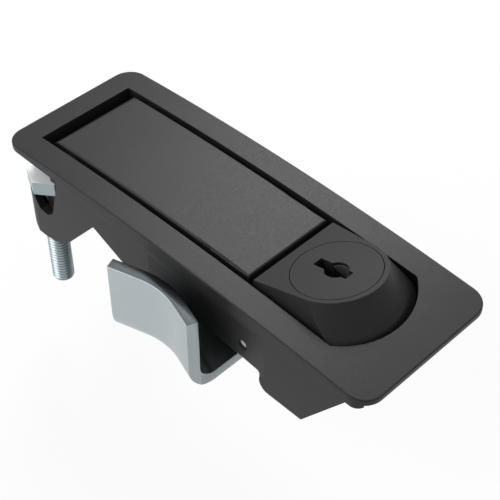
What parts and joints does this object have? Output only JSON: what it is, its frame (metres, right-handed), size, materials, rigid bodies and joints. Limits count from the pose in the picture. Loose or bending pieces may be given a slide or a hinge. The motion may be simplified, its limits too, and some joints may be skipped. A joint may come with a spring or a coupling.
{
  "type": "lever latch",
  "caption": "Flush panel latch: a hinged lever held by a raised key-locking trigger swings a bowed steel pawl under the housing; studs clamp it to the panel.",
  "frame": {"origin": "middle of the bezel on the plane where it meets the panel's outer face", "axes": "+X along the bezel from the lever's hinge to the lock, +Y across it, +Z out of the panel"},
  "size_m": [0.12, 0.0504, 0.0564],
  "materials": {
    "black_housing": "fine matt black powder coat",
    "black_lever": "fine matt black powder coat",
    "black_trigger": "fine matt black powder coat",
    "lock_black": "matt black coated zinc",
    "lock_steel": "dark oiled steel",
    "zinc_steel": "bright zinc plate",
    "bright_steel": "ground steel",
    "spring_steel": "spring wire",
    "pawl_steel": "pale zinc plate, satin",
    "bolt_steel": "bright zinc plate"
  },
  "bodies": {
    "base": {"housing": "black_housing", "lever_pin": "zinc_steel", "trigger_pin": "bright_steel", "trigger_spring": "spring_steel", "pawl_pin": "bright_steel", "pawl_clip_left": "spring_steel", "pawl_clip_right": "spring_steel", "pawl_spring": "spring_steel", "bolt_near": "bolt_steel", "bolt_far": "bolt_steel"},
    "lever": {"lever": "black_lever", "lever_catch": "zinc_steel", "catch_screw_near": "zinc_steel", "catch_screw_far": "zinc_steel"},
    "trigger": {"trigger": "black_trigger"},
    "lock": {"lock_plug": "lock_black", "lock_core_pin": "lock_steel", "lock_clip": "zinc_steel", "lock_cam": "zinc_steel", "cam_screw": "zinc_steel"},
    "pawl": {"pawl": "pawl_steel"}
  },
  "joints": [
    {"name": "lever_lift", "type": "hinge", "parent": "base", "child": "lever", "pos_m": [-0.0465, 0, -0.00262], "axis": [0, -1, 0], "range_deg": [0, 60]},
    {"name": "trigger_press", "type": "hinge", "parent": "base", "child": "trigger", "pos_m": [0.0228, 0, -0.0106], "axis": [0, 1, 0], "range_deg": [0, 5], "stiffness_Nm_per_rad": 1, "springref_deg": -4.58},
    {"name": "lock_turn", "type": "hinge", "parent": "trigger", "child": "lock", "pos_m": [0.03269, 0, 0.00672], "axis": [-0.229, 0, 0.9734], "range_deg": [0, 90]},
    {"name": "pawl_swing", "type": "hinge", "parent": "base", "child": "pawl", "pos_m": [0, 0.01, -0.02095], "axis": [1, 0, 0], "range_deg": [0, 75]}
  ],
  "couplings": [
    {"joint": "pawl_swing", "follows": "lever_lift", "ratio": 1.25}
  ]
}
